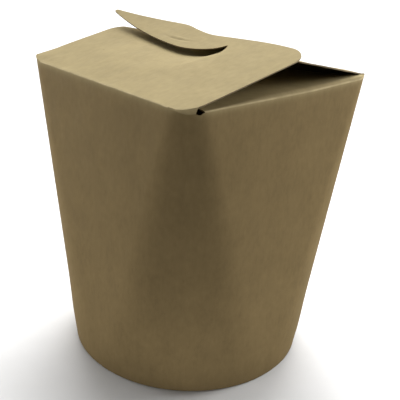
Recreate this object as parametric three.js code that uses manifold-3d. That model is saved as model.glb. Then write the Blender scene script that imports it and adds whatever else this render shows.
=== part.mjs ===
// Noodle takeaway box folded from one sheet of kraft board: a round base, walls that spread to a
// square rim, side flaps folded in, and a low roof of two large flaps, the front one over the back
// one. It is shut, so it is one solid up to the side flaps; the roof stands open on both sides.
// Millimetres, +Z up. The origin is the centre of the base; the front flap's crease faces -Y.
import * as THREE from 'three';
import { ConvexGeometry } from 'three/addons/geometries/ConvexGeometry.js';
import { mergeVertices } from 'three/addons/utils/BufferGeometryUtils.js';
import Module from 'manifold-3d';

const wasm = await Module();
wasm.setup();

// Driving dimensions
const rimHeight = 108;
const rimSide = 88;
const rimCornerRadius = 8.7;
const baseDiameter = 89.4;
const board = 0.5;
const rimLip = 1.2;
const creaseInset = 0.1;

const hemDepth = 5.5;
const hemThickness = 1.6;

const sideFlap = { slope: -2, length: 32, rootWidth: 73, tipWidth: 62, rootCorner: 0.5, tipCorner: 9 };
const backFlap = { slope: 13.6, length: 40.9, rootWidth: 84, tipWidth: 84, rootCorner: 7, tipCorner: 1.5 };
const frontFlap = {
  slope: 12.3,
  left: -42.3,
  right: 43.2,
  creaseCornerRadius: 6.8,
  panelCornerRadius: 4.5,
  tipCornerRadius: 9.5,
};
const slit = {
  start: 40.3,
  lowest: 36.2,
  lowestAt: -3.5,
  endsAt: 12.5,
  endLength: 46.3,
  bow: 1.4,
  rootFall: 4,
  width: 0.3,
};
const tongue = { overhang: 2.3, tipLift: 5.5, liftPower: 3.1, tipRadius: 0.9 };
const underlap = { reach: 5.5, leftShare: -0.08, fullFrom: -30, fullTo: -4, endsAt: 8 };
const panelDip = { depth: 2.5, band: 24, rise: 0.25, fall: 0.95, bank: 0.45 };

// Lengths of the front flap, from its crease to its free edge, along its width
const freeEdge = new THREE.SplineCurve([
  new THREE.Vector2(-44.1, 42.6),
  new THREE.Vector2(-36, 46.4),
  new THREE.Vector2(-26, 50.4),
  new THREE.Vector2(-16, 53.2),
  new THREE.Vector2(-9, 52.1),
  new THREE.Vector2(-1, 51.2),
  new THREE.Vector2(8, 52.7),
  new THREE.Vector2(22, 55),
  new THREE.Vector2(32, 55.5),
  new THREE.Vector2(43.2, 54.8),
]);

const arcSteps = 12;
const overlap = 0.1;
const rimHalf = rimSide / 2;
const baseRadius = baseDiameter / 2;
const sideFlapDrop = sideFlap.length * Math.sin(THREE.MathUtils.degToRad(-sideFlap.slope));
const topDrop = sideFlapDrop + board;
const kraft = { color: 0xb3a077, roughness: 0.85, metalness: 0 };

// The wall is straight between points of the base and the rim that face the same way
function wallPoint(angle, corner, height, inset = 0) {
  const sideX = [1, -1, -1, 1][corner];
  const sideY = [1, 1, -1, -1][corner];
  const straight = rimHalf - rimCornerRadius;
  const up = height / rimHeight;
  const radius = THREE.MathUtils.lerp(baseRadius, rimCornerRadius, up) - inset;
  return new THREE.Vector3(
    sideX * straight * up + radius * Math.cos(angle),
    sideY * straight * up + radius * Math.sin(angle),
    height,
  );
}

function wallRing(height, inset) {
  const ring = [];
  for (let corner = 0; corner < 4; corner += 1) {
    for (let step = 0; step <= arcSteps; step += 1) {
      const angle = (corner + step / arcSteps) * (Math.PI / 2);
      ring.push(wallPoint(angle, corner, height, inset));
    }
  }
  return ring;
}

function toManifold(geometry) {
  const bare = geometry.clone();
  bare.deleteAttribute('normal');
  bare.deleteAttribute('uv');
  const merged = mergeVertices(bare, 1e-5);
  return new wasm.Manifold(
    new wasm.Mesh({
      numProp: 3,
      vertProperties: new Float32Array(merged.attributes.position.array),
      triVerts: new Uint32Array(merged.index.array),
    }),
  );
}

function fromManifold(solid) {
  const mesh = solid.getMesh();
  const geometry = new THREE.BufferGeometry();
  geometry.setAttribute('position', new THREE.BufferAttribute(new Float32Array(mesh.vertProperties), 3));
  geometry.setIndex(new THREE.BufferAttribute(new Uint32Array(mesh.triVerts), 1));
  return geometry;
}

// The shut body: solid up to the side flaps, with a hem standing below the recessed base
function boxBody() {
  const outer = toManifold(new ConvexGeometry([...wallRing(0), ...wallRing(rimHeight)]));
  const pocket = toManifold(
    new ConvexGeometry([...wallRing(rimHeight - topDrop, rimLip), ...wallRing(rimHeight + 1, rimLip)]),
  );
  const recessRadius = baseRadius - hemThickness;
  const recess = new THREE.CylinderGeometry(recessRadius, recessRadius, hemDepth * 2, 4 * arcSteps);
  recess.rotateX(Math.PI / 2);
  return outer.subtract(pocket).subtract(toManifold(recess));
}

// A flat flap drawn with its crease along the shape's X axis and its free end towards +Y
function flatFlapGeometry({ length, rootWidth, tipWidth, rootCorner, tipCorner }, thickness) {
  const corners = [
    { at: new THREE.Vector2(-rootWidth / 2, 0), size: rootCorner },
    { at: new THREE.Vector2(rootWidth / 2, 0), size: rootCorner },
    { at: new THREE.Vector2(tipWidth / 2, length), size: tipCorner },
    { at: new THREE.Vector2(-tipWidth / 2, length), size: tipCorner },
  ];
  const shape = new THREE.Shape();
  corners.forEach(({ at, size }, index) => {
    const before = corners[(index + 3) % 4].at;
    const after = corners[(index + 1) % 4].at;
    const start = at.clone().add(before.clone().sub(at).setLength(size));
    const end = at.clone().add(after.clone().sub(at).setLength(size));
    if (index === 0) {
      shape.moveTo(start.x, start.y);
    } else {
      shape.lineTo(start.x, start.y);
    }
    shape.quadraticCurveTo(at.x, at.y, end.x, end.y);
  });
  shape.closePath();
  const geometry = new THREE.ExtrudeGeometry(shape, {
    depth: thickness,
    bevelEnabled: false,
    curveSegments: 6,
  });
  geometry.translate(0, 0, -thickness);
  return geometry;
}

// Puts a flap's crease on one side of the rim; the turn counts anticlockwise from the front
function hingedAtRim(geometry, turn, slope) {
  const placed = geometry.clone();
  placed.rotateX(THREE.MathUtils.degToRad(slope));
  placed.translate(0, -rimHalf + creaseInset, rimHeight);
  placed.rotateZ(THREE.MathUtils.degToRad(turn));
  return toManifold(placed);
}

// How far an outline falls back where a corner of the given radius rounds it off
function cornerCut(distanceFromEdge, radius) {
  const inside = Math.max(0, radius - distanceFromEdge);
  return radius - Math.sqrt(Math.max(0, radius * radius - inside * inside));
}

function cutAtBothEnds(x, left, right, radiusLeft, radiusRight) {
  return cornerCut(x - left, radiusLeft) + cornerCut(right - x, radiusRight);
}

// The tongue reaches a little further out to the left than the panel below the slit
function tongueX(x) {
  const { left } = frontFlap;
  const along = Math.max(0, (slit.lowestAt - x) / (slit.lowestAt - left));
  return x - tongue.overhang * along;
}

// The curved cut that frees the tongue: slightly bowed, then a quarter ellipse up to its closed end.
// Past that end it goes on as the tongue's uncut root, clear of the flap's rounded corner.
function slitLength(x) {
  if (x >= slit.endsAt) {
    const past = THREE.MathUtils.smoothstep(x, slit.endsAt, frontFlap.right);
    return slit.endLength - slit.rootFall * past;
  }
  if (x <= slit.lowestAt) {
    const along = (slit.lowestAt - x) / (slit.lowestAt - frontFlap.left);
    return slit.lowest + (slit.start - slit.lowest) * along ** slit.bow;
  }
  const along = (x - slit.lowestAt) / (slit.endsAt - slit.lowestAt);
  return slit.endLength - (slit.endLength - slit.lowest) * Math.sqrt(1 - along * along);
}

function freeEdgeLength(x) {
  const points = freeEdge.points;
  const last = points.length - 1;
  let low = 0;
  let high = 1;
  for (let halving = 0; halving < 30; halving += 1) {
    const middle = (low + high) / 2;
    if (freeEdge.getPoint(middle).x < x) {
      low = middle;
    } else {
      high = middle;
    }
  }
  return x >= points[last].x ? points[last].y : freeEdge.getPoint(low).y;
}

// The tongue curls up towards its tip
function tongueLift(x) {
  const along = Math.max(0, (slit.endsAt - x) / (slit.endsAt - tongueX(frontFlap.left)));
  return tongue.tipLift * along ** tongue.liftPower;
}

// The panel reaches on a little way below the tongue, except near the slit's closed end
function panelLength(x) {
  const { reach, leftShare, fullFrom, fullTo, endsAt } = underlap;
  const fromEnd = THREE.MathUtils.smoothstep(endsAt - x, 0, endsAt - fullTo);
  const fromLeft = THREE.MathUtils.clamp((x - frontFlap.left) / (fullFrom - frontFlap.left), 0, 1);
  return slitLength(x) + reach * fromEnd * THREE.MathUtils.lerp(leftShare, 1, fromLeft);
}

// The panel hangs down towards the slit, most of all left of the slit's closed end
function panelSag(x, length) {
  const { depth, band, rise, fall, bank } = panelDip;
  const end = slit.endsAt + bank * Math.max(0, slit.endLength - length);
  const along = THREE.MathUtils.clamp((end - x) / (slit.endsAt - frontFlap.left), 0, 1);
  const profile = (place) => place ** rise * (1 - place) ** fall;
  const deepest = rise / (rise + fall);
  const across = THREE.MathUtils.clamp(1 - (slitLength(x) - length) / band, 0, 1);
  return -depth * (profile(along) / profile(deepest)) * across ** 2;
}

// Columns across the flap's width, closer together at its corners and at the slit's closed end
function flapColumns() {
  const { left, right, tipCornerRadius } = frontFlap;
  const columns = [];
  const cornerColumns = 6;
  for (let step = 0; step < cornerColumns; step += 1) {
    columns.push(left + tipCornerRadius * (1 - Math.cos((step / cornerColumns) * (Math.PI / 2))));
  }
  const straightStart = left + tipCornerRadius;
  const straightColumns = 11;
  for (let step = 0; step < straightColumns; step += 1) {
    columns.push(straightStart + ((slit.lowestAt - straightStart) * step) / straightColumns);
  }
  const slitEndColumns = 7;
  for (let step = 0; step < slitEndColumns; step += 1) {
    const turn = (step / slitEndColumns) * (Math.PI / 2);
    columns.push(slit.lowestAt + (slit.endsAt - slit.lowestAt) * Math.sin(turn));
  }
  const rootEnd = right - tipCornerRadius;
  const rootColumns = 5;
  for (let step = 0; step < rootColumns; step += 1) {
    columns.push(slit.endsAt + ((rootEnd - slit.endsAt) * step) / rootColumns);
  }
  for (let step = 0; step <= cornerColumns; step += 1) {
    columns.push(rootEnd + tipCornerRadius * Math.sin((step / cornerColumns) * (Math.PI / 2)));
  }
  return columns;
}

// The front flap as one bent sheet: a panel from the crease to the slit, and beyond it the tongue,
// which share their edge only to the right of the slit's closed end. At its left the panel follows
// the rim's rounded corner.
function frontFlapGeometry() {
  const columns = flapColumns();
  const panelRows = 10;
  const tongueRows = 5;
  const rootColumn = columns.findIndex((x) => x >= slit.endsAt - 1e-9);
  const { left, right, creaseCornerRadius, panelCornerRadius, tipCornerRadius } = frontFlap;
  const tongueLeft = tongueX(left);
  const corners = [];
  const top = new Map();

  const addCorner = (key, x, length, height) => {
    top.set(key, corners.length);
    corners.push(new THREE.Vector3(x, length, height));
  };

  columns.forEach((x, column) => {
    const opening = column < rootColumn ? slit.width / 2 : 0;
    const crease = cutAtBothEnds(x, -rimHalf, right, rimCornerRadius, creaseCornerRadius);
    const panelEnd = panelLength(x) - opening - cutAtBothEnds(x, left, right, panelCornerRadius, 0);
    for (let row = 0; row <= panelRows; row += 1) {
      const length = THREE.MathUtils.lerp(crease, panelEnd, (row / panelRows) ** 0.8);
      addCorner(`panel ${column} ${row}`, x, length, panelSag(x, length));
    }
    const out = tongueX(x);
    const tongueStart = slitLength(out) + opening
      + cutAtBothEnds(out, tongueLeft, right, tongue.tipRadius, 0);
    const tongueEnd = freeEdgeLength(out)
      - cutAtBothEnds(out, tongueLeft, right, tongue.tipRadius, tipCornerRadius);
    for (let row = 0; row <= tongueRows; row += 1) {
      if (row === 0 && column >= rootColumn) {
        top.set(`tongue ${column} 0`, top.get(`panel ${column} ${panelRows}`));
      } else {
        const length = THREE.MathUtils.lerp(tongueStart, tongueEnd, row / tongueRows);
        addCorner(`tongue ${column} ${row}`, out, length, tongueLift(out));
      }
    }
  });

  const under = corners.length;
  const positions = [...corners, ...corners.map((point) => point.clone().setZ(point.z - board))];
  const triangles = [];
  const addQuad = (a, b, c, d) => {
    triangles.push(a, b, c, a, c, d);
    triangles.push(under + a, under + c, under + b, under + a, under + d, under + c);
  };
  const addRim = (keys) => {
    for (let index = 0; index + 1 < keys.length; index += 1) {
      const from = top.get(keys[index]);
      const to = top.get(keys[index + 1]);
      triangles.push(from, under + from, under + to, from, under + to, to);
    }
  };

  const lastColumn = columns.length - 1;
  for (let column = 0; column < lastColumn; column += 1) {
    for (const [part, rows] of [['panel', panelRows], ['tongue', tongueRows]]) {
      for (let row = 0; row < rows; row += 1) {
        addQuad(
          top.get(`${part} ${column} ${row}`),
          top.get(`${part} ${column + 1} ${row}`),
          top.get(`${part} ${column + 1} ${row + 1}`),
          top.get(`${part} ${column} ${row + 1}`),
        );
      }
    }
  }

  const range = (from, to) => {
    const step = to >= from ? 1 : -1;
    return Array.from({ length: Math.abs(to - from) + 1 }, (_, index) => from + step * index);
  };
  addRim(range(0, lastColumn).map((column) => `panel ${column} 0`));
  addRim(range(0, panelRows).map((row) => `panel ${lastColumn} ${row}`));
  addRim(range(0, tongueRows).map((row) => `tongue ${lastColumn} ${row}`));
  addRim(range(lastColumn, 0).map((column) => `tongue ${column} ${tongueRows}`));
  addRim(range(tongueRows, 0).map((row) => `tongue 0 ${row}`));
  addRim(range(0, rootColumn).map((column) => `tongue ${column} 0`));
  addRim(range(rootColumn, 0).map((column) => `panel ${column} ${panelRows}`));
  addRim(range(panelRows, 0).map((row) => `panel 0 ${row}`));

  const geometry = new THREE.BufferGeometry();
  const values = positions.flatMap((point) => point.toArray());
  geometry.setAttribute('position', new THREE.Float32BufferAttribute(values, 3));
  geometry.setIndex(triangles);
  return geometry;
}

// The side flaps lie on the solid body, so below their edges they go on down into it
const sideFlapGeometry = flatFlapGeometry(sideFlap, topDrop + overlap);
const sheet = [
  hingedAtRim(sideFlapGeometry, 90, sideFlap.slope),
  hingedAtRim(sideFlapGeometry, -90, sideFlap.slope),
  hingedAtRim(flatFlapGeometry(backFlap, board), 180, backFlap.slope),
  hingedAtRim(frontFlapGeometry(), 0, frontFlap.slope),
].reduce((solid, flap) => solid.add(flap), boxBody());

const noodleBox = new THREE.Mesh(fromManifold(sheet), new THREE.MeshStandardMaterial(kraft));
noodleBox.name = 'noodle_box';

const root = new THREE.Group();
root.add(noodleBox);

export default root;
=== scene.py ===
"""Looks for a shut noodle takeaway box: one folded sheet of kraft board and a round base disc.

Sizes are millimetres until a point is put in a mesh, where they become metres. Each side of the box
is drawn as if it faced -Y, and then turned round the box: front, right, back, left.
"""

import math

import bmesh
import bpy
from mathutils import Matrix, Vector


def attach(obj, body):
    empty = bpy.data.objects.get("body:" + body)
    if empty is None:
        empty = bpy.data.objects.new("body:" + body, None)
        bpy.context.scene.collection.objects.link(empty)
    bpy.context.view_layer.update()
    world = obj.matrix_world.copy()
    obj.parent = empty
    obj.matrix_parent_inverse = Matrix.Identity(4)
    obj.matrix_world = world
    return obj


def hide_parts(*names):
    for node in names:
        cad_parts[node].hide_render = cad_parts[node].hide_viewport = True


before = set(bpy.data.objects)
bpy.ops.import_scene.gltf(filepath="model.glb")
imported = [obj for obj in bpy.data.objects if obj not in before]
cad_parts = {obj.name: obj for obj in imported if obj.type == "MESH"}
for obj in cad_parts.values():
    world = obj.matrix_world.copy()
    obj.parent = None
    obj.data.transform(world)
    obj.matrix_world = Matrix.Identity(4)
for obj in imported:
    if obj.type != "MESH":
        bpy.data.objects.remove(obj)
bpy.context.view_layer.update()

MM = 0.001
TINY = 1e-6
FRONT, RIGHT, BACK, LEFT = range(4)

RIM_HEIGHT = 108.0
RIM_HALF = 44.0
RIM_CORNER_RADIUS = 8.7
BASE_RADIUS = 44.68
BOARD = 0.4
CREASE_HALF = RIM_HALF - RIM_CORNER_RADIUS
RIM_QUARTER = 2 * CREASE_HALF + RIM_CORNER_RADIUS * math.pi / 2

# The side flaps' folds soften over a run that starts at the front corners
FOLD_RADIUS = 0.5
SOFT_FOLD_RADIUS = 1.4
SOFT_FOLD_RUN = 30.0
FOLD_STEPS = 8

# Painted shade: the board's tone goes from the walls' shaded colour (0) to the flaps' lit colour
# (1): its value on a fold's lower edge, where the wall's top is painted lighter, and how far below
# that it fades
TOP_SHADE_TONE = 0.5
TOP_SHADE_TONE_FADE = 0.9

# Wear: how far round its fold a crease is palest, over what width, and how pale a flap's root is
WORN_AT = 0.4
WORN_WIDTH = 0.22
ROOT_WEAR = 0.2

# The wall is hemmed inwards at its foot, and swells round the base disc at its corners
HEM_RADIUS = 0.8
HEM_DEPTH = 5.5
HEM_STEPS = 8
SKIRT_HEIGHT = 11.0
SKIRT_BULGE = 0.3
SKIRT_BAND = 8.0
WALL_ROWS = 42
# The wall's last rows, closer together: how far each lies below the top
ROWS_NEAR_TOP = (2.4, 1.6, 1.0, 0.5, 0.2, 0.0)

# The glued lap beside the back left corner: its edge, as a share of the way between two sides, how
# far it stands proud, and the width over which that evens out
SEAM_AT = 0.6
SEAM_STEP = 0.35
SEAM_LAP = 12.0

ARC_STEPS = 40
# The corner that follows each side: how far round it the relief hole is, the hole's radius, and how
# far the wall's top dips (or, where negative, rises) in the corner
CORNERS = {
    FRONT: (math.radians(69), 1.15, 0.8),
    RIGHT: (math.radians(43), 0.5, -1.3),
    BACK: (math.radians(47), 0.5, -1.3),
    LEFT: (math.radians(21), 1.15, -0.9),
}
HOLE_CENTRE_RISE = 0.62

# Creases aren't pressed level. How far each lies above the rim's height, and where it rises more:
# by what height, from which place and over what run, which is negative towards the left end
CREASE_LEVEL = {FRONT: -0.1, RIGHT: -0.15, BACK: -0.35, LEFT: 0.0}
CREASE_RISES = {
    FRONT: [],
    RIGHT: [(0.7, 5.0, 34.0), (0.05, -20.0, -15.0)],
    BACK: [(0.9, -18.0, -17.0)],
    LEFT: [],
}
FRONT_CREASE_TILT = 0.25
LEFT_CREASE_RIPPLE = 0.1
LEFT_CREASE_RIPPLE_LENGTH = 11.0
WAVE_FADE = 20.0

# A gusset's curve: its rise in parts of its height, its roll in fold radii, and its flat length
GUSSET_RISE = 0.55
GUSSET_ROLL = 0.6
GUSSET_LENGTH = 2.0

SIDE_SLOPE = math.radians(-2)
SIDE_LENGTH = 32.0
SIDE_TIP_HALF = 31.0
SIDE_TIP_RADIUS = 9.0
SIDE_COLUMN_STEPS = 48
SIDE_ROWS = 20

REAR_SLOPE = math.radians(13.6)
REAR_LENGTH = 40.9
REAR_TIP_RADIUS = 1.5
REAR_SPREAD = 1.026
REAR_SPREAD_RUN = 12.0
REAR_SAG = 1.2
REAR_SAG_RUN = 15.0
REAR_ARCH = 0.4
REAR_ROWS = 24

TOP_SLOPE = math.radians(12.3)
TOP_LEFT = -42.3
TOP_RIGHT = 43.2
TOP_CREASE_RADIUS = 6.8
TOP_FAR_RADIUS = 9.5
PANEL_RADIUS = 4.5
PANEL_ROWS = 36
# The upper flap's left corner is less round than the rim's, and stands up a little
LEFT_CORNER_CUT = 0.65
LEFT_CORNER_RISE = 0.4
LEFT_CORNER_RISE_RUN = 4.0
LEFT_CORNER_FADE_FROM = 3.0
LEFT_CORNER_FADE_RUN = 9.0
# Steps of the columns left of the slit's lowest point, in its bend, and right of its closed end
TOP_COLUMN_STEPS = (30, 12, 20)
# The last columns at the upper flap's right edge: how far each lies inside it
COLUMNS_NEAR_EDGE = (0.12, 0.05, 0.0)

# The slit's distances from the crease, and its places along it
SLIT_START = 40.3
SLIT_LOWEST = 36.2
SLIT_LOWEST_AT = -3.5
SLIT_ENDS_AT = 12.5
SLIT_END_LENGTH = 46.3
SLIT_BOW = 1.4
SLIT_WIDTH = 0.3
ROOT_FALL = 4.0

TONGUE_OVERHANG = 2.27
TONGUE_LIFT = 5.45
TONGUE_LIFT_POWER = 3.1
TONGUE_TIP_RADIUS = 0.9
TONGUE_ROWS = 40

# The dent in the tongue, and the slight ridge beyond it
DENT_X = -8.0
DENT_V = 41.0
DENT_HALF_LENGTH = 5.0
DENT_TILT = 0.5
DENT_BOW = 0.4
DENT_DEPTH = 0.22
DENT_WIDTH = 0.6
RIDGE_HEIGHT = 0.12
RIDGE_WIDTH = 0.8
RIDGE_BEYOND = 1.3

# How far the panel reaches on below the tongue
UNDERLAP = 5.5
UNDERLAP_LEFT_SHARE = -0.08
UNDERLAP_FULL = (-30.0, -4.0)
UNDERLAP_ENDS_AT = 8.0

# How deep the panel hangs down beside the slit, how far from the slit, and its shape along it
DIP_DEPTH = 2.5
DIP_BAND = 24.0
DIP_RISE = 0.25
DIP_FALL = 0.95
DIP_BANK = 0.45

DISC_RADIUS = BASE_RADIUS - 2 * HEM_RADIUS
DISC_DOME = 0.5
# the base disc's place between the walls' painted shade and the flaps' lit colour
DISC_SHADE_TONE = 0.4
DISC_RINGS = 16
DISC_STEPS = 96

# The upper flap's free edge: its place along the crease, and its distance from the crease
FREE_EDGE = [
    (-44.1, 42.6),
    (-36.0, 46.4),
    (-26.0, 50.4),
    (-16.0, 53.2),
    (-9.0, 52.1),
    (-1.0, 51.2),
    (8.0, 52.7),
    (22.0, 55.0),
    (32.0, 55.5),
    (43.2, 54.8),
]


def clamp(value, low=0.0, high=1.0):
    return max(low, min(high, value))


def lerp(start, end, share):
    return start + (end - start) * share


def smooth(value):
    value = clamp(value)
    return value * value * (3 - 2 * value)


def evenly(start, end, steps):
    return [lerp(start, end, step / steps) for step in range(steps + 1)]


def corner_cut(distance, radius):
    """How far an outline falls back where a corner of this radius rounds it off."""
    inside = clamp(radius - distance, 0, radius)
    return radius - math.sqrt(radius * radius - inside * inside)


def curve_through(points, x):
    """A smooth curve through the points (Catmull-Rom), read at x."""
    index = 0
    while index < len(points) - 2 and x > points[index + 1][0]:
        index += 1
    (x1, y1), (x2, y2) = points[index], points[index + 1]
    x0, y0 = points[index - 1] if index else (2 * x1 - x2, 2 * y1 - y2)
    x3, y3 = points[index + 2] if index + 2 < len(points) else (2 * x2 - x1, 2 * y2 - y1)
    run = x2 - x1
    share = clamp((x - x1) / run)
    slope1 = (y2 - y0) / (x2 - x0) * run
    slope2 = (y3 - y1) / (x3 - x1) * run
    square, cube = share**2, share**3
    return (
        (2 * cube - 3 * square + 1) * y1
        + (cube - 2 * square + share) * slope1
        + (3 * square - 2 * cube) * y2
        + (cube - square) * slope2
    )


# ---------------------------------------------------------------- the sheet's mesh


class Sheet:
    """An open surface of shared corners, to which thicken() gives the board's thickness."""

    def __init__(self):
        self.mesh = bmesh.new()
        self.corners = {}
        self.worn = self.mesh.verts.layers.float.new("worn")
        self.shade_tone = self.mesh.verts.layers.float.new("shade_tone")
        self.flat = self.mesh.verts.layers.float_vector.new("flat")

    def corner(self, key, point, flat, worn=0.0, shade_tone=0.0):
        """A named corner; flat is its place on the unfolded sheet.

        worn is how far its colour is rubbed pale, and its tone goes from the walls' painted shade
        (0) to the flaps' lit colour (1).
        """
        if key not in self.corners:
            vert = self.mesh.verts.new(Vector(point) * MM)
            vert[self.worn] = worn
            vert[self.shade_tone] = shade_tone
            vert[self.flat] = Vector((flat[0], flat[1], 0)) * MM
            self.corners[key] = vert
        return self.corners[key]

    def face(self, *keys):
        """A face between named corners, left out where they fall together."""
        verts = []
        for key in keys:
            vert = self.corners[key]
            if vert not in verts:
                verts.append(vert)
        if len(verts) > 2:
            self.mesh.faces.new(verts)


def turned(side, x, y, z):
    """A point drawn for the front, turned to one side of the box."""
    angle = side * math.pi / 2
    return (
        x * math.cos(angle) - y * math.sin(angle),
        x * math.sin(angle) + y * math.cos(angle),
        z,
    )


def wall_point(side, share, height, inset=0.0):
    """On the wall, from the middle of one side (share 0) to the middle of the next (share 1)."""
    up = height / RIM_HEIGHT
    straight = CREASE_HALF * up
    radius = lerp(BASE_RADIUS, RIM_CORNER_RADIUS, up)
    arc = radius * math.pi / 2
    distance = share * (2 * straight + arc)
    inner = radius - inset + wall_offset(side, share, height)
    if distance <= straight:
        return turned(side, distance, -straight - inner, height)
    if distance >= straight + arc:
        return turned(side, straight + inner, distance - 2 * straight - arc, height)
    turn = (distance - straight) / radius
    x = straight + inner * math.sin(turn)
    y = -straight - inner * math.cos(turn)
    return turned(side, x, y, height)


def rim_share(along):
    """The wall's share for a distance along the rim, from the middle of a side."""
    return along / RIM_QUARTER


def wall_offset(side, share, height):
    """The skirt round the base disc swells a little at the corners; the glued lap stands proud."""
    band = math.exp(-(((height - SKIRT_HEIGHT) / SKIRT_BAND) ** 2))
    swell = SKIRT_BULGE * math.sin(math.pi * share) * band
    if side != BACK:
        return swell
    past_seam = (share - SEAM_AT) * 2 * (CREASE_HALF + RIM_CORNER_RADIUS)
    if past_seam < 0:
        return swell
    return swell + SEAM_STEP * (1 - smooth(past_seam / SEAM_LAP))


def corner_top(side, turn):
    """The height of the wall's top round a corner, down into the relief hole."""
    share = turn / (math.pi / 2)
    following = (side + 1) % 4
    level = lerp(fold_top(side, CREASE_HALF), fold_top(following, -CREASE_HALF), share)
    hole_turn, radius, dip = CORNERS[side]
    edge = level - dip * math.sin(2 * turn) ** 3
    away = (turn - hole_turn) * RIM_CORNER_RADIUS
    if abs(away) >= radius:
        return edge
    return min(edge, edge + HOLE_CENTRE_RISE * radius - math.sqrt(radius**2 - away**2))


def arc_steps(side, hand):
    """How many steps of the rounded corner, up to its hole, belong to the flap on this side."""
    turn, radius, _ = CORNERS[side if hand > 0 else (side - 1) % 4]
    if hand < 0:
        turn = math.pi / 2 - turn
    return math.floor((turn - radius / RIM_CORNER_RADIUS) / (math.pi / 2) * ARC_STEPS + TINY)


def slope_of(side):
    return {FRONT: TOP_SLOPE, BACK: REAR_SLOPE}.get(side, SIDE_SLOPE)


def from_front(side, x):
    """On a side, how far a place along the crease is from the crease's end at the front."""
    return CREASE_HALF + clamp(x if side == RIGHT else -x, -CREASE_HALF, CREASE_HALF)


def fold_radius(side, x):
    """The side flaps are folded softly, except beside the front corners."""
    if side in (FRONT, BACK):
        return FOLD_RADIUS
    return lerp(FOLD_RADIUS, SOFT_FOLD_RADIUS, smooth(from_front(side, x) / SOFT_FOLD_RUN))


def fold_reach(side, x, radius=None):
    """How far a fold's rounding reaches on both sides of its crease."""
    return (radius or fold_radius(side, x)) * math.tan((math.pi / 2 - slope_of(side)) / 2)


def crease_wave(side, x):
    """How far the crease on this side lies above the rim's height."""
    wave = sum(height * smooth((x - start) / run) for height, start, run in CREASE_RISES[side])
    if side == FRONT:
        wave += FRONT_CREASE_TILT * x / CREASE_HALF
    elif side == LEFT:
        wave += LEFT_CREASE_RIPPLE * math.sin(x / LEFT_CREASE_RIPPLE_LENGTH)
    return wave + CREASE_LEVEL[side]


def fold_wave(side, x):
    """How far a flap lies above the rim's height beside its crease: a soft fold lifts it more."""
    return crease_wave(side, x) + fold_reach(side, x) - fold_reach(side, x, FOLD_RADIUS)


def fold_top(side, x):
    """Where the wall ends and the fold's rounding starts."""
    return RIM_HEIGHT + fold_wave(side, x) - fold_reach(side, x)


def corner_name(part, side, x, row):
    """The name of a corner of a flap or a fold, in its column at x."""
    return (part, side, round(x, 4), row)


def fold_names(side, x):
    """The names of a fold's corners, from the wall's top to the flap."""
    return [corner_name("fold", side, x, step) for step in range(FOLD_STEPS + 1)]


def wall_posts(columns):
    """The wall's columns in their order round the box.

    For each: its side and share, the name and height of its top corner, and its painted shade tone
    there.
    """
    posts = []
    for side in range(4):
        following = (side + 1) % 4
        for x in [x for x in columns[side] if x >= 0]:
            key = corner_name("fold", side, x, 0)
            posts.append((side, rim_share(x), key, fold_top(side, x), TOP_SHADE_TONE))
        for step in range(1, ARC_STEPS):
            turn = step / ARC_STEPS * math.pi / 2
            share = rim_share(CREASE_HALF + RIM_CORNER_RADIUS * turn)
            # painted light: the wall's lighter top fades to the wall's shaded colour round the
            # middle of each corner
            shade_tone = TOP_SHADE_TONE * math.cos(2 * turn) ** 2
            posts.append((side, share, ("corner", side, step), corner_top(side, turn), shade_tone))
        for x in [x for x in columns[following] if x < 0]:
            share = 1 - rim_share(-x)
            key = corner_name("fold", following, x, 0)
            posts.append((side, share, key, fold_top(following, x), TOP_SHADE_TONE))
    return posts


def hem_profile():
    """The hem from its inner edge down and round to the wall's foot, as insets and heights."""
    hem_middle = HEM_DEPTH * 0.6
    profile = [(2 * HEM_RADIUS, HEM_DEPTH), (2 * HEM_RADIUS, hem_middle)]
    for turn in evenly(0, math.pi, HEM_STEPS):
        inset = HEM_RADIUS * (1 + math.cos(turn))
        profile.append((inset, HEM_RADIUS * (1 - math.sin(turn))))
    return profile


def build_wall(sheet, columns):
    """The wall from its hem, folded up inside, to the creases and the corners' cut edges."""
    hem = hem_profile()
    keys = []
    for number, (side, share, top_key, top, top_shade_tone) in enumerate(wall_posts(columns)):
        across = (side + share) * RIM_QUARTER
        column = []
        for row, (inset, height) in enumerate(hem):
            key = ("hem", number, row)
            sheet.corner(key, wall_point(side, share, height, inset), (across, height - inset))
            column.append(key)
        heights = evenly(HEM_RADIUS, top - ROWS_NEAR_TOP[0], WALL_ROWS)[1:]
        heights += [top - below for below in ROWS_NEAR_TOP[1:]]
        for row, height in enumerate(heights):
            last = row == len(heights) - 1
            key = top_key if last else ("wall", number, row)
            # painted light: the wall's top is painted lighter, towards the flaps' colour, fading
            # downwards
            shade_tone = top_shade_tone * math.exp((height - top) / TOP_SHADE_TONE_FADE)
            sheet.corner(key, wall_point(side, share, height), (across, height), 0.0, shade_tone)
            column.append(key)
        keys.append(column)
    for number, column in enumerate(keys):
        after = keys[(number + 1) % len(keys)]
        for row in range(len(column) - 1):
            sheet.face(column[row], after[row], after[row + 1], column[row + 1])


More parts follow.
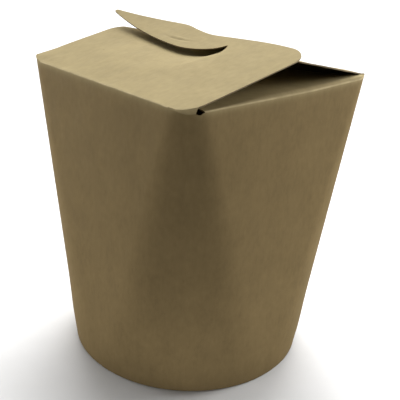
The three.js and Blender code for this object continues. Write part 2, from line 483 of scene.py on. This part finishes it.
class Flap:
    """A flap in its own plane: x along the crease, v away from it, lift square to the plane."""

    def __init__(self, side, start, end, spread=lambda x, v: x, lift=lambda x, v: 0.0):
        self.side = side
        self.slope = slope_of(side)
        self.start = start
        self.end = end
        self.spread = spread
        self.lift = lift

    def place(self, x, v):
        """Where this place on the flap is in the box's frame."""
        lift = self.lift(x, v)
        on_crease = clamp(x, -CREASE_HALF, CREASE_HALF)
        wave = fold_wave(self.side, on_crease) * (1 - smooth(v / WAVE_FADE))
        if self.side == FRONT:
            rise = LEFT_CORNER_RISE * smooth((-x - CREASE_HALF) / LEFT_CORNER_RISE_RUN)
            wave += rise * (1 - smooth((v - LEFT_CORNER_FADE_FROM) / LEFT_CORNER_FADE_RUN))
        return turned(
            self.side,
            self.spread(x, v),
            -RIM_HALF + v * math.cos(self.slope) - lift * math.sin(self.slope),
            RIM_HEIGHT + v * math.sin(self.slope) + lift * math.cos(self.slope) + wave,
        )

    def flat(self, x, v):
        """The same place on the unfolded sheet."""
        return (self.side * RIM_QUARTER + x, RIM_HEIGHT + v)

    def fold(self, sheet, x):
        """The rounding between the wall's top and the flap, at one place along the crease."""
        radius = fold_radius(self.side, x)
        reach = fold_reach(self.side, x)
        bend = math.pi / 2 - self.slope
        for step in range(1, FOLD_STEPS + 1):
            turn = bend * step / FOLD_STEPS
            inward = radius * (1 - math.cos(turn))
            up = radius * math.sin(turn) - reach
            wave = fold_wave(self.side, x)
            point = turned(self.side, x, -RIM_HALF + inward, RIM_HEIGHT + up + wave)
            key = corner_name("fold", self.side, x, step)
            sheet.corner(key, point, self.flat(x, up), worn_at(radius * turn), fold_shade_tone(step))


def worn_at(distance):
    """The board is palest on the crease itself, where it starts to bend."""
    return math.exp(-(((distance - WORN_AT) / WORN_WIDTH) ** 2))


def fold_shade_tone(step):
    """The board's painted shade tone over a fold, from the wall's painted-lighter top to the flap's
    lit colour.
    """
    return lerp(TOP_SHADE_TONE, 1, step / FOLD_STEPS)


def build_flap(sheet, flap, columns, rows, part, closed_from=None):
    """Rows of corners from each column's start to its end, joined by faces.

    closed_from is the part below and the number of its rows: it shares its last row with this part
    where the two aren't cut apart.
    """
    crossing = []
    for x in columns:
        column = []
        folded = abs(x) <= CREASE_HALF + TINY and closed_from is None
        if folded:
            flap.fold(sheet, x)
            column += fold_names(flap.side, x)
        start = flap.start(x)
        end = flap.end(x)
        for row in range(rows + 1):
            v = lerp(start, end, row / rows)
            key = corner_name(part, flap.side, x, row)
            if folded and row == 0:
                key = corner_name("fold", flap.side, x, FOLD_STEPS)
            shared = closed_from and row == 0 and x >= SLIT_ENDS_AT - TINY
            if shared:
                key = corner_name(closed_from[0], flap.side, x, closed_from[1])
            worn = ROOT_WEAR * math.exp(-v)
            sheet.corner(key, flap.place(x, v), flap.flat(x, v), worn, 1.0)
            if key not in column:
                column.append(key)
        crossing.append(column)
    for column, after in zip(crossing, crossing[1:]):
        # At the end of the crease a column with a fold meets one without: only the flap's rows join
        length = min(len(column), len(after))
        column, after = column[-length:], after[-length:]
        for row in range(length - 1):
            sheet.face(column[row], after[row], after[row + 1], column[row + 1])


def root_start(side, x):
    """Beside its crease a flap's root follows the wall's rounded corner."""
    inner = RIM_CORNER_RADIUS - fold_reach(side, x)
    past = clamp(abs(x) - CREASE_HALF, 0, inner)
    return RIM_CORNER_RADIUS - math.sqrt(inner**2 - past**2)


def root_columns(side, hand):
    """Places along the crease's line, beyond its end, above the steps of the rounded corner."""
    inner = RIM_CORNER_RADIUS - fold_reach(side, hand * CREASE_HALF)
    turns = [step / ARC_STEPS * math.pi / 2 for step in range(1, arc_steps(side, hand) + 1)]
    return [CREASE_HALF + inner * math.sin(turn) for turn in turns]


def joined(left, inner, right):
    """One row of columns from its middle and from both ends, which count away from the middle."""
    return [-x for x in reversed(left)] + inner + right


# ---------------------------------------------------------------- the upper flap


def slit_at(x):
    """The cut that frees the tongue: slightly bowed, then a quarter ellipse to its closed end.

    Past that end it goes on as the tongue's uncut root, clear of the flap's rounded corner.
    """
    if x >= SLIT_ENDS_AT:
        past = (x - SLIT_ENDS_AT) / (TOP_RIGHT - SLIT_ENDS_AT)
        return SLIT_END_LENGTH - ROOT_FALL * smooth(past)
    if x <= SLIT_LOWEST_AT:
        along = (SLIT_LOWEST_AT - x) / (SLIT_LOWEST_AT - TOP_LEFT)
        return SLIT_LOWEST + (SLIT_START - SLIT_LOWEST) * along**SLIT_BOW
    along = (x - SLIT_LOWEST_AT) / (SLIT_ENDS_AT - SLIT_LOWEST_AT)
    return SLIT_END_LENGTH - (SLIT_END_LENGTH - SLIT_LOWEST) * math.sqrt(1 - along * along)


def half_slit(x):
    """Half the gap that the slit leaves, up to its closed end."""
    return SLIT_WIDTH / 2 if x < SLIT_ENDS_AT - TINY else 0.0


def tongue_x(x):
    """The tongue reaches a little further out to the left than the panel below the slit."""
    along = max(0, (SLIT_LOWEST_AT - x) / (SLIT_LOWEST_AT - TOP_LEFT))
    return x - TONGUE_OVERHANG * along


def top_start(x):
    """The panel starts on its crease, and beside it follows the rim's corners."""
    if x < 0:
        return lerp(fold_reach(FRONT, x), root_start(FRONT, x), LEFT_CORNER_CUT)
    return max(corner_cut(TOP_RIGHT - x, TOP_CREASE_RADIUS), fold_reach(FRONT, x))


def panel_length(x):
    """The panel reaches on a little way below the tongue, except near the slit's closed end."""
    full_from, full_to = UNDERLAP_FULL
    from_end = smooth((UNDERLAP_ENDS_AT - x) / (UNDERLAP_ENDS_AT - full_to))
    from_left = clamp((x - TOP_LEFT) / (full_from - TOP_LEFT))
    return slit_at(x) + UNDERLAP * from_end * lerp(UNDERLAP_LEFT_SHARE, 1, from_left)


def panel_end(x):
    return panel_length(x) - half_slit(x) - corner_cut(x - TOP_LEFT, PANEL_RADIUS)


def panel_lift(x, v):
    """The panel hangs down towards the slit, most of all left of the slit's closed end."""

    def profile(place):
        return place**DIP_RISE * (1 - place) ** DIP_FALL

    bank = DIP_BANK * max(0, SLIT_END_LENGTH - v)
    along = clamp((SLIT_ENDS_AT + bank - x) / (SLIT_ENDS_AT - TOP_LEFT))
    across = clamp(1 - (slit_at(x) - v) / DIP_BAND)
    deepest = profile(DIP_RISE / (DIP_RISE + DIP_FALL))
    return -DIP_DEPTH * profile(along) / deepest * across**2


def tongue_start(x):
    out = tongue_x(x)
    return slit_at(out) + half_slit(x) + corner_cut(out - tongue_x(TOP_LEFT), TONGUE_TIP_RADIUS)


def tongue_end(x):
    out = tongue_x(x)
    cut = corner_cut(out - tongue_x(TOP_LEFT), TONGUE_TIP_RADIUS)
    return curve_through(FREE_EDGE, out) - cut - corner_cut(TOP_RIGHT - x, TOP_FAR_RADIUS)


def tongue_lift(x, v):
    """The tongue curls up towards its tip."""
    along = max(0, (SLIT_ENDS_AT - tongue_x(x)) / (SLIT_ENDS_AT - tongue_x(TOP_LEFT)))
    return TONGUE_LIFT * along**TONGUE_LIFT_POWER + tongue_dent(tongue_x(x), v)


def tongue_dent(x, v):
    """A short dent along the tongue's middle, with a slight ridge beyond it."""
    along = (x - DENT_X) / DENT_HALF_LENGTH
    window = math.exp(-(along**2))
    off = v - DENT_V - DENT_TILT * along - DENT_BOW * along**2
    ridge = RIDGE_HEIGHT * math.exp(-(((off - RIDGE_BEYOND) / RIDGE_WIDTH) ** 2))
    return window * (ridge - DENT_DEPTH * math.exp(-((off / DENT_WIDTH) ** 2)))


def scaled_to(places, end):
    """The same spacing past the crease's end, stretched or squeezed to end here."""
    scale = (end - CREASE_HALF) / (places[-1] - CREASE_HALF)
    return [CREASE_HALF + (x - CREASE_HALF) * scale for x in places]


def top_columns():
    """The upper flap's columns: those on its crease, and all of them."""
    before_bend, in_bend, after_bend = TOP_COLUMN_STEPS
    inner = evenly(-CREASE_HALF, SLIT_LOWEST_AT, before_bend)
    bend = [math.pi / 2 * step / in_bend for step in range(1, in_bend + 1)]
    inner += [SLIT_LOWEST_AT + (SLIT_ENDS_AT - SLIT_LOWEST_AT) * math.sin(turn) for turn in bend]
    inner += evenly(SLIT_ENDS_AT, CREASE_HALF, after_bend)[1:]
    left = scaled_to(root_columns(FRONT, -1), -TOP_LEFT)
    right = scaled_to(root_columns(FRONT, 1), TOP_RIGHT - COLUMNS_NEAR_EDGE[0])
    right += [TOP_RIGHT - inside for inside in COLUMNS_NEAR_EDGE[1:]]
    return inner, joined(left, inner, right)


# ---------------------------------------------------------------- the rear and side flaps


def even_columns():
    """Columns over a whole crease, evenly spaced."""
    return evenly(-CREASE_HALF, CREASE_HALF, SIDE_COLUMN_STEPS)


def rooted_columns(side):
    """The columns of a whole flap, with its root beyond the crease's ends."""
    return joined(root_columns(side, -1), even_columns(), root_columns(side, 1))


def root_half(side, hand):
    """Half the width of a flap's root, up to the corner's hole on the left (-1) or right (1)."""
    return root_columns(side, hand)[-1]


def rear_end(x):
    return REAR_LENGTH - corner_cut(root_half(BACK, 1) - abs(x), REAR_TIP_RADIUS)


def rear_spread(x, v):
    """The rear flap is slightly wider at its end than at its root."""
    return x * lerp(1, REAR_SPREAD, smooth(v / REAR_SPREAD_RUN))


def rear_lift(x, v):
    """The rear flap is slightly arched from crease to end, and sags between its edges."""
    arch = REAR_ARCH * math.sin(math.pi * v / REAR_LENGTH)
    across = x / root_half(BACK, 1)
    return arch - REAR_SAG * (1 - across**2) * smooth(v / REAR_SAG_RUN)


def side_flap(side):
    """A side flap narrows from a root that reaches to the corners' holes to its rounded tip."""

    def root_end(x):
        return root_half(side, 1 if x > 0 else -1)

    def start(x):
        return root_start(side, x)

    def end(x):
        return SIDE_LENGTH - corner_cut(root_end(x) - abs(x), SIDE_TIP_RADIUS)

    def spread(x, v):
        share = (v - start(x)) / (SIDE_LENGTH - start(x))
        return x * lerp(1, SIDE_TIP_HALF / root_end(x), share)

    return Flap(side, start, end, spread)


# ---------------------------------------------------------------- gussets and the board's thickness


def curve_between(start, leaving, arriving, end, along):
    """A cubic curve that leaves its start and reaches its end by way of two more points."""
    return (
        start * (1 - along) ** 3
        + leaving * 3 * along * (1 - along) ** 2
        + arriving * 3 * along**2 * (1 - along)
        + end * along**3
    )


def build_gusset(sheet, flap, part, columns, hand):
    """Beside a crease the wall's top rolls over into the flap's root, as far as the hole.

    hand is 1 at the right end of the crease and -1 at its left end.
    """
    steps = arc_steps(flap.side, hand)
    beyond = sorted((x for x in columns if hand * x > CREASE_HALF + TINY), key=abs)
    band = [fold_names(flap.side, hand * CREASE_HALF)]
    for step, x in enumerate(beyond[:steps], 1):
        corner = (flap.side, step) if hand > 0 else ((flap.side - 1) % 4, ARC_STEPS - step)
        bottom_key = ("corner", *corner)
        top_key = corner_name(part, flap.side, x, 0)
        bottom = sheet.corners[bottom_key].co / MM
        top = sheet.corners[top_key].co / MM
        radius = fold_radius(flap.side, x)
        rise = Vector((0, 0, (top.z - bottom.z) * GUSSET_RISE))
        inward = Vector((-top.x, -top.y, 0)).normalized() * GUSSET_ROLL * radius
        column = [bottom_key]
        for row in range(1, FOLD_STEPS):
            along = row / FOLD_STEPS
            point = curve_between(bottom, bottom + rise, top - inward, top, along)
            key = corner_name("gusset", flap.side, x, row)
            v = flap.start(x) - (1 - along) * GUSSET_LENGTH
            worn = worn_at(radius * along * math.pi / 2) if flap.side in (RIGHT, LEFT) else 0.0
            # painted shade: the gusset goes from the wall's shaded colour to the flap's lit colour
            sheet.corner(key, point, flap.flat(x, v), worn, fold_shade_tone(row))
            column.append(key)
        column.append(top_key)
        band.append(column)
    for column, after in zip(band, band[1:]):
        for row in range(FOLD_STEPS):
            corners = [column[row], after[row], after[row + 1], column[row + 1]]
            sheet.face(*(corners if hand > 0 else reversed(corners)))


def thicken(surface, thickness):
    """Gives an open surface the board's thickness, with material 1 on its cut edges."""
    surface.normal_update()
    layers = [
        surface.verts.layers.float["worn"],
        surface.verts.layers.float["shade_tone"],
        surface.verts.layers.float_vector["flat"],
    ]
    rims = [edge for edge in surface.edges if edge.is_boundary]
    faces = list(surface.faces)
    under = {}
    for vert in list(surface.verts):
        twin = surface.verts.new(vert.co - vert.normal * thickness * MM)
        for layer in layers:
            twin[layer] = vert[layer]
        under[vert] = twin
    for face in faces:
        surface.faces.new([under[vert] for vert in reversed(face.verts)])
    for edge in rims:
        loop = edge.link_loops[0]
        start, end = loop.vert, loop.link_loop_next.vert
        strip = surface.faces.new([end, start, under[start], under[end]])
        strip.material_index = 1
        for side in strip.edges:
            side.smooth = False
    for edge in surface.edges:
        if edge.is_boundary:
            raise ValueError("the sheet isn't closed")


def object_from(name, mesh_data, materials):
    """Puts a finished mesh in the scene, with smooth shading."""
    mesh = bpy.data.meshes.new(name)
    mesh_data.to_mesh(mesh)
    mesh_data.free()
    for material in materials:
        mesh.materials.append(material)
    mesh.shade_smooth()
    piece = bpy.data.objects.new(name, mesh)
    bpy.context.scene.collection.objects.link(piece)
    return piece


# ---------------------------------------------------------------- materials


class Nodes:
    """Short ways to add and join the nodes of one material."""

    def __init__(self, name):
        self.material = bpy.data.materials.new(name)
        self.material.use_nodes = True
        self.tree = self.material.node_tree
        self.shader = self.tree.nodes["Principled BSDF"]

    def add(self, kind, **settings):
        node = self.tree.nodes.new(kind)
        for key, value in settings.items():
            setattr(node, key, value)
        return node

    def join(self, output, socket):
        self.tree.links.new(output, socket)

    def attribute(self, name):
        return self.add("ShaderNodeAttribute", attribute_name=name)

    def stretched(self, vector, scale):
        node = self.add("ShaderNodeMapping")
        node.inputs["Scale"].default_value = scale
        self.join(vector, node.inputs["Vector"])
        return node.outputs["Vector"]

    def noise(self, vector, waves, detail, roughness):
        """Noise with so many waves per metre, given once or for each direction."""
        if isinstance(waves, tuple):
            vector, waves = self.stretched(vector, waves), 1.0
        node = self.add("ShaderNodeTexNoise")
        node.inputs["Scale"].default_value = waves
        node.inputs["Detail"].default_value = detail
        node.inputs["Roughness"].default_value = roughness
        self.join(vector, node.inputs["Vector"])
        return node.outputs["Fac"]

    def math(self, operation, first, second):
        node = self.add("ShaderNodeMath", operation=operation)
        for socket, value in zip(node.inputs, (first, second)):
            if isinstance(value, (int, float)):
                socket.default_value = value
            else:
                self.join(value, socket)
        return node.outputs[0]

    def between(self, value, low, high, to_low=0.0, to_high=1.0):
        """Turns the range from low to high into the range from to_low to to_high."""
        node = self.add("ShaderNodeMapRange")
        for name, number in zip(
            ("From Min", "From Max", "To Min", "To Max"), (low, high, to_low, to_high)
        ):
            node.inputs[name].default_value = number
        self.join(value, node.inputs["Value"])
        return node.outputs["Result"]

    def swing(self, pattern, share):
        """A factor round 1 that follows a noise pattern, by this share up and down."""
        return self.between(pattern, NOISE_LOW, NOISE_HIGH, 1 - share, 1 + share)

    def mix(self, share, first, second, blend="MIX"):
        node = self.add("ShaderNodeMix", data_type="RGBA", blend_type=blend)
        sockets = (node.inputs[0], node.inputs[6], node.inputs[7])
        for socket, value in zip(sockets, (share, first, second)):
            if isinstance(value, (int, float)):
                socket.default_value = value
            elif isinstance(value, tuple):
                socket.default_value = (*value, 1.0)
            else:
                self.join(value, socket)
        return node.outputs[2]

    def bump(self, height, strength, distance, before=None):
        """Relief from a noise pattern, on top of the relief before it."""
        node = self.add("ShaderNodeBump")
        node.inputs["Strength"].default_value = strength
        node.inputs["Distance"].default_value = distance
        self.join(height, node.inputs["Height"])
        if before is not None:
            self.join(before, node.inputs["Normal"])
        return node.outputs["Normal"]


# Colours, as the light that a surface gives back
# painted shade: walls and flaps are the same board, the walls given a darker copy of its colour for
# the shade they stand in, the flaps a lit one
KRAFT_WALL_PAINTED_SHADE = (0.167, 0.121, 0.0575)
KRAFT_FLAP_LIT = (0.334, 0.272, 0.148)
KRAFT_PALE = (0.64, 0.53, 0.32)
# painted shade: cut edges are painted dark, standing in for the shadow on the rear flap's edge
KRAFT_EDGE_PAINTED_SHADE = (0.17, 0.125, 0.06)
KRAFT_EDGE_PAINTED_SHADE_DARK = (0.13, 0.095, 0.045)
KRAFT_FLECK = (0.16, 0.11, 0.06)
FLOOR_TONES = ((0.59, 0.59, 0.59), (0.61, 0.61, 0.61))

# Noise patterns: waves per metre (for some across the unfolded sheet, up it and through it), detail
# and roughness
FIBRES = ((1100, 240, 1), 5.0, 0.65)
STREAKS = ((300, 70, 1), 3.0, 0.55)
MOTTLE = ((500, 300, 1), 4.0, 0.65)
CLOUDS = (75.0, 4.0, 0.6)
COCKLES = ((60, 18, 1), 2.0, 0.5)
WEAR = ((160, 900, 1), 3.0, 0.6)
FLECK_PLACES = (190.0, 1.0, 0.6)
EDGE_FIBRES = (1900.0, 3.0, 0.6)
FLOOR_GRAIN = (60.0, 3.0, 0.6)

# Nearly all of a noise pattern's values lie between these two
NOISE_LOW, NOISE_HIGH = 0.3, 0.7
# By what share each pattern lightens and darkens the board
FIBRE_SWING = 0.03
STREAK_SWING = 0.03
MOTTLE_SWING = 0.06
CLOUD_SWING = 0.06
COCKLE_SWING = 0.015

# The flecks' cells per metre, a fleck's dark middle and faded edge in its cell, and the place noise
# at which flecks start to show and show in full
FLECK_CELLS = 260.0
FLECK_SIZE = (0.03, 0.09)
FLECK_SHOWN = (0.64, 0.68)
# The range of the wear noise, and how pale that leaves a worn crease
WEAR_RANGE = (0.35, 0.7)
WEAR_SHARE = (0.25, 0.8)

# Relief: strength, and height in metres
COCKLE_RELIEF = (0.12, 0.0009)
FIBRE_RELIEF = (0.2, 0.00012)
EDGE_RELIEF = (0.4, 0.0001)

BOARD_ROUGHNESS = (0.62, 0.78)
BOARD_SPECULAR = 0.01
CUT_ROUGHNESS = 0.9
FLOOR_ROUGHNESS = 0.9


def kraft_face():
    """The board's face: walls painted darker than flaps as painted shade, upright fibres, soft
    clouds, a few dark flecks, and paler worn creases.
    """
    nodes = Nodes("kraft_face")
    flat = nodes.attribute("flat").outputs["Vector"]
    fibres = nodes.noise(flat, *FIBRES)
    streaks = nodes.noise(flat, *STREAKS)
    mottle = nodes.noise(flat, *MOTTLE)
    clouds = nodes.noise(flat, *CLOUDS)
    cockles = nodes.noise(flat, *COCKLES)

    shade_tone = nodes.attribute("shade_tone").outputs["Fac"]
    # painted shade: the walls get the shaded copy of the board's colour, the flaps the lit one
    base = nodes.mix(shade_tone, KRAFT_WALL_PAINTED_SHADE, KRAFT_FLAP_LIT)
    light = nodes.swing(fibres, FIBRE_SWING)
    for pattern, share in (
        (streaks, STREAK_SWING),
        (mottle, MOTTLE_SWING),
        (clouds, CLOUD_SWING),
        (cockles, COCKLE_SWING),
    ):
        light = nodes.math("MULTIPLY", light, nodes.swing(pattern, share))
    grey = nodes.add("ShaderNodeCombineColor")
    for socket in grey.inputs[:3]:
        nodes.join(light, socket)
    color = nodes.mix(1.0, base, grey.outputs["Color"], "MULTIPLY")

    flecks = nodes.add("ShaderNodeTexVoronoi")
    flecks.inputs["Scale"].default_value = FLECK_CELLS
    nodes.join(flat, flecks.inputs["Vector"])
    near_fleck = nodes.between(flecks.outputs["Distance"], *FLECK_SIZE, 1.0, 0.0)
    shown = nodes.between(nodes.noise(flat, *FLECK_PLACES), *FLECK_SHOWN)
    color = nodes.mix(nodes.math("MULTIPLY", near_fleck, shown), color, KRAFT_FLECK)

    worn = nodes.attribute("worn").outputs["Fac"]
    patches = nodes.between(nodes.noise(flat, *WEAR), *WEAR_RANGE)
    rubbed = nodes.math("MULTIPLY", worn, nodes.between(patches, 0, 1, *WEAR_SHARE))
    color = nodes.mix(rubbed, color, KRAFT_PALE)

    nodes.join(color, nodes.shader.inputs["Base Color"])
    roughness = nodes.between(streaks, NOISE_LOW, NOISE_HIGH, *BOARD_ROUGHNESS)
    nodes.join(roughness, nodes.shader.inputs["Roughness"])
    nodes.shader.inputs["Specular IOR Level"].default_value = BOARD_SPECULAR
    relief = nodes.bump(fibres, *FIBRE_RELIEF, before=nodes.bump(cockles, *COCKLE_RELIEF))
    nodes.join(relief, nodes.shader.inputs["Normal"])
    return nodes.material


def cut_edge():
    """The board's cut edges, painted about as dark as the walls: painted shade in place of the
    board's paler core.
    """
    nodes = Nodes("kraft_cut_edge")
    flat = nodes.attribute("flat").outputs["Vector"]
    fibres = nodes.noise(flat, *EDGE_FIBRES)
    color = nodes.mix(nodes.between(fibres, NOISE_LOW, NOISE_HIGH), KRAFT_EDGE_PAINTED_SHADE_DARK, KRAFT_EDGE_PAINTED_SHADE)
    nodes.join(color, nodes.shader.inputs["Base Color"])
    nodes.shader.inputs["Roughness"].default_value = CUT_ROUGHNESS
    nodes.join(nodes.bump(fibres, *EDGE_RELIEF), nodes.shader.inputs["Normal"])
    return nodes.material


def floor_paper():
    """The plain pale floor."""
    nodes = Nodes("floor_paper")
    where = nodes.add("ShaderNodeTexCoord").outputs["Object"]
    grain = nodes.noise(where, *FLOOR_GRAIN)
    color = nodes.mix(nodes.between(grain, NOISE_LOW, NOISE_HIGH), *FLOOR_TONES)
    nodes.join(color, nodes.shader.inputs["Base Color"])
    nodes.shader.inputs["Roughness"].default_value = FLOOR_ROUGHNESS
    return nodes.material


# ---------------------------------------------------------------- the box


def folded_sheet(materials):
    """The wall and its four flaps, all of one sheet."""
    sheet = Sheet()
    crease_columns, flap_columns = top_columns()
    wall_columns = {FRONT: crease_columns, RIGHT: even_columns()}
    wall_columns[BACK] = wall_columns[LEFT] = wall_columns[RIGHT]
    build_wall(sheet, wall_columns)

    panel = Flap(FRONT, top_start, panel_end, lift=panel_lift)
    tongue = Flap(FRONT, tongue_start, tongue_end, lambda x, v: tongue_x(x), tongue_lift)
    build_flap(sheet, panel, flap_columns, PANEL_ROWS, "panel")
    build_flap(sheet, tongue, flap_columns, TONGUE_ROWS, "tongue", ("panel", PANEL_ROWS))

    rear = Flap(BACK, lambda x: root_start(BACK, x), rear_end, rear_spread, rear_lift)
    rear_columns = rooted_columns(BACK)
    build_flap(sheet, rear, rear_columns, REAR_ROWS, "rear")
    flaps = [(panel, "panel", flap_columns), (rear, "rear", rear_columns)]
    for side in (RIGHT, LEFT):
        flap, columns = side_flap(side), rooted_columns(side)
        build_flap(sheet, flap, columns, SIDE_ROWS, "side")
        flaps.append((flap, "side", columns))
    for flap, part, columns in flaps:
        build_gusset(sheet, flap, part, columns, 1)
        build_gusset(sheet, flap, part, columns, -1)

    bmesh.ops.recalc_face_normals(sheet.mesh, faces=sheet.mesh.faces[:])
    thicken(sheet.mesh, BOARD)
    return object_from("folded_sheet", sheet.mesh, materials)


def base_disc(materials):
    """The disc that closes the base, set inside the hem, a little domed."""
    sheet = Sheet()
    for ring in range(DISC_RINGS + 1):
        share = ring / DISC_RINGS
        for step in range(DISC_STEPS):
            angle = 2 * math.pi * step / DISC_STEPS
            x = DISC_RADIUS * share * math.cos(angle)
            y = DISC_RADIUS * share * math.sin(angle)
            height = HEM_DEPTH + DISC_DOME * (1 - share**2)
            key = (ring, step if ring else 0)
            sheet.corner(key, (x, y, height), (x, y), 0.0, DISC_SHADE_TONE)
    for ring in range(DISC_RINGS):
        for step in range(DISC_STEPS):
            after = (step + 1) % DISC_STEPS
            sheet.face(
                (ring, step if ring else 0),
                (ring, after if ring else 0),
                (ring + 1, after),
                (ring + 1, step),
            )
    thicken(sheet.mesh, BOARD)
    return object_from("base_disc", sheet.mesh, materials)


board = [kraft_face(), cut_edge()]
for piece in (folded_sheet(board), base_disc(board)):
    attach(piece, "root")
    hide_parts("noodle_box")


# ---------------------------------------------------------------- the studio

# The camera's distance and aim are millimetres in the frame, its lens and sensor those of a camera
CAMERA_AZIMUTH = math.radians(46.813)
CAMERA_ELEVATION = math.radians(22.941)
CAMERA_ROLL = math.radians(3.225)
CAMERA_DISTANCE = 272.89
CAMERA_AIM = (2.04, 2.17, 56.29)
CAMERA_LENS = 63.41
CAMERA_SENSOR = 36

# The floor and the lights are in metres and watts
FLOOR_HALF = 6.0
# Seen from the camera: one softbox overhead, one at each side, and a low card before the base. For
# each: how far it is to the right, towards the camera and up; the height it is aimed at; its width
# and height; its power
LIGHTS = {
    "top_softbox": ((0.0, -1.7, 2.0), 0.06, (2.2, 2.2), 148),
    "left_softbox": ((-0.34, -0.09, 0.06), 0.06, (0.16, 0.1), 0.85),
    "right_softbox": ((0.3, -0.08, 0.165), 0.09, (0.16, 0.1), 1.12),
    "low_card": ((0.0, 0.085, 0.008), 0.012, (0.2, 0.012), 0.022),
}
SURROUND_COLOR = (1.0, 0.99, 0.97, 1)
SURROUND_RISE = 0.35
SURROUND_STRENGTH = {"From Min": -0.5, "From Max": 0.8, "To Min": 0.0, "To Max": 0.65}


def add_floor():
    grid = bmesh.new()
    bmesh.ops.create_grid(grid, x_segments=1, y_segments=1, size=FLOOR_HALF)
    floor = object_from("floor", grid, [floor_paper()])


def add_camera():
    """The box is seen a little from above, with a corner of its rim towards the camera."""
    around, up = CAMERA_AZIMUTH, CAMERA_ELEVATION
    back = Vector(
        (math.sin(around) * math.cos(up), -math.cos(around) * math.cos(up), math.sin(up))
    )
    level = Vector((math.cos(around), math.sin(around), 0))
    upright = back.cross(level)
    right = level * math.cos(CAMERA_ROLL) + upright * math.sin(CAMERA_ROLL)
    above = upright * math.cos(CAMERA_ROLL) - level * math.sin(CAMERA_ROLL)
    turn = Matrix((right, above, back)).transposed().to_4x4()
    data = bpy.data.cameras.new("camera")
    data.lens = CAMERA_LENS
    data.sensor_width = CAMERA_SENSOR
    camera = bpy.data.objects.new("camera", data)
    place = (Vector(CAMERA_AIM) + back * CAMERA_DISTANCE) * MM
    camera.matrix_world = Matrix.Translation(place) @ turn
    bpy.context.scene.collection.objects.link(camera)
    bpy.context.scene.camera = camera


def add_softbox(name, offset, aim_height, size, power):
    """A soft light, placed as seen from the camera and aimed above the centre of the base."""
    rightward = Vector((math.cos(CAMERA_AZIMUTH), math.sin(CAMERA_AZIMUTH), 0))
    toward = Vector((math.sin(CAMERA_AZIMUTH), -math.cos(CAMERA_AZIMUTH), 0))
    upward = Vector((0, 0, 1))
    place = rightward * offset[0] + toward * offset[1] + upward * offset[2]
    aim = Vector((0, 0, aim_height))
    data = bpy.data.lights.new(name, "AREA")
    data.shape = "RECTANGLE"
    data.size, data.size_y = size
    data.energy = power
    light = bpy.data.objects.new(name, data)
    light.location = place
    light.rotation_euler = (aim - place).to_track_quat("-Z", "Y").to_euler()
    bpy.context.scene.collection.objects.link(light)


def add_surround():
    """A soft surround, brightest behind the box and dim on the side of the camera."""
    world = bpy.data.worlds.new("surround")
    world.use_nodes = True
    tree = world.node_tree
    background = tree.nodes["Background"]
    where = tree.nodes.new("ShaderNodeTexCoord")
    facing = tree.nodes.new("ShaderNodeVectorMath")
    facing.operation = "DOT_PRODUCT"
    behind_box = (-math.sin(CAMERA_AZIMUTH), math.cos(CAMERA_AZIMUTH), SURROUND_RISE)
    facing.inputs[1].default_value = behind_box
    ramp = tree.nodes.new("ShaderNodeMapRange")
    ramp.interpolation_type = "SMOOTHSTEP"
    for name, value in SURROUND_STRENGTH.items():
        ramp.inputs[name].default_value = value
    tree.links.new(where.outputs["Generated"], facing.inputs[0])
    tree.links.new(facing.outputs["Value"], ramp.inputs["Value"])
    tree.links.new(ramp.outputs["Result"], background.inputs["Strength"])
    background.inputs["Color"].default_value = SURROUND_COLOR
    bpy.context.scene.world = world


add_floor()
add_camera()
add_surround()
for name, (offset, aim_height, size, power) in LIGHTS.items():
    add_softbox(name, offset, aim_height, size, power)
bpy.context.scene.view_settings.view_transform = "Standard"
